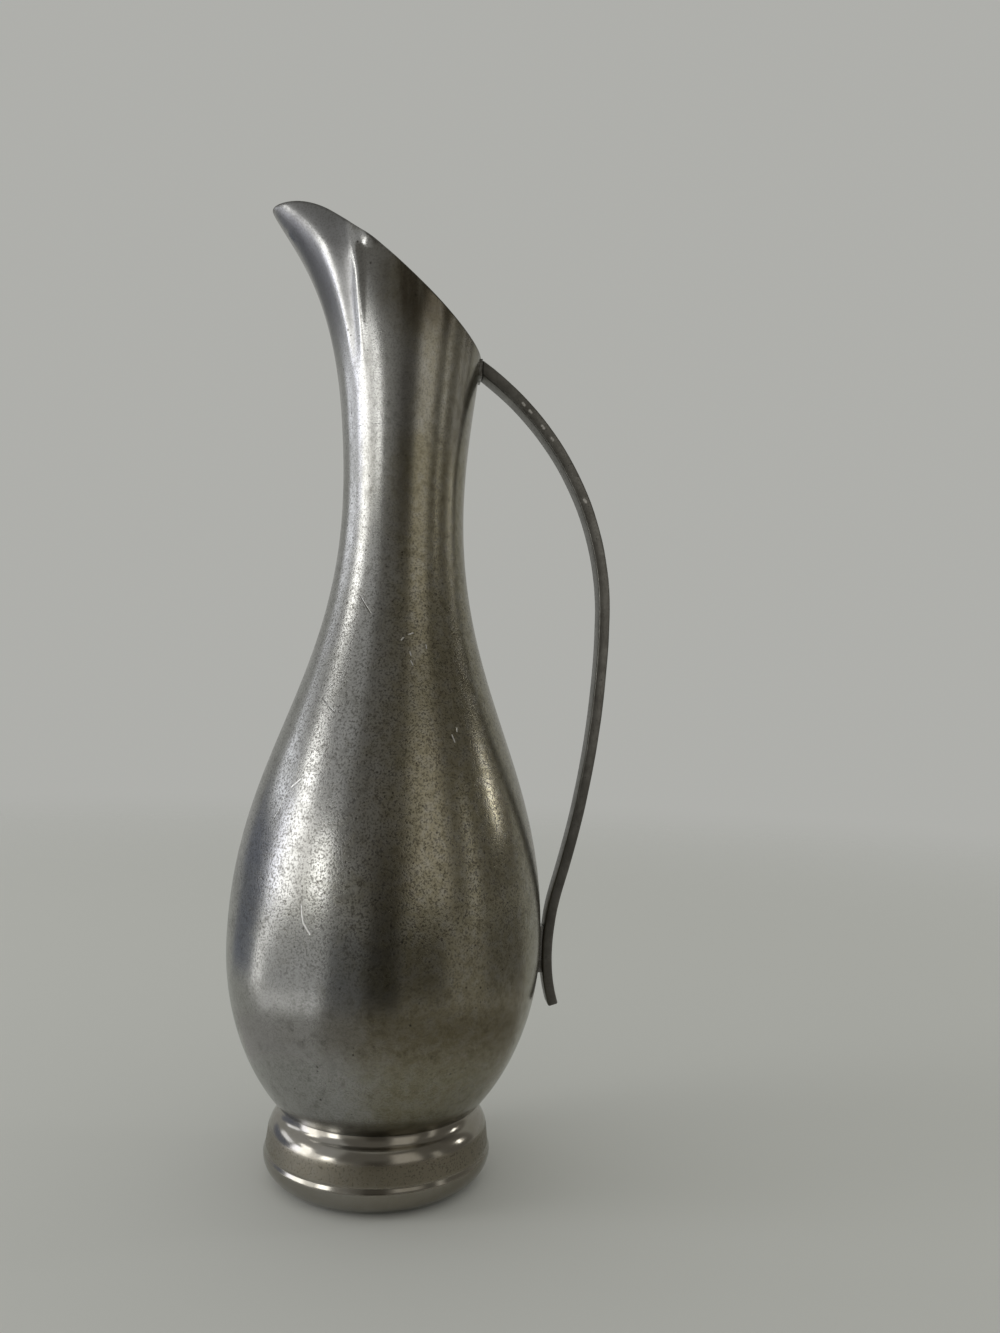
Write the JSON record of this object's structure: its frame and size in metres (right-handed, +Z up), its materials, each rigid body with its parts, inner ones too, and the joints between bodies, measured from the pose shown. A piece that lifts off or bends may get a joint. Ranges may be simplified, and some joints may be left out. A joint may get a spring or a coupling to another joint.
{
  "type": "jug vase",
  "caption": "Tall pear-shaped pewter jug vase with a long neck, an oblique rim drawn into a pinched beak, a slim strap handle and a turned bead foot, for flowers or pouring water.",
  "frame": {"origin": "centre of the ring on which the foot stands, on the vase axis", "axes": "+Z up along the vase axis; the handle is towards +X and the spout towards -X, so XZ is the plane of symmetry"},
  "size_m": [0.0926, 0.0774, 0.2396],
  "materials": {
    "pewter": "satin",
    "dark_pewter": "satin",
    "solder": "satin"
  },
  "bodies": {
    "root": {"foot_ring": "pewter", "lower_bowl": "pewter", "shoulder_neck": "pewter", "spout": "pewter", "handle": "dark_pewter", "foot_solder": "solder", "belly_solder": "solder", "neck_solder": "solder", "handle_top_solder": "solder", "handle_tail_solder": "solder"}
  },
  "joints": []
}
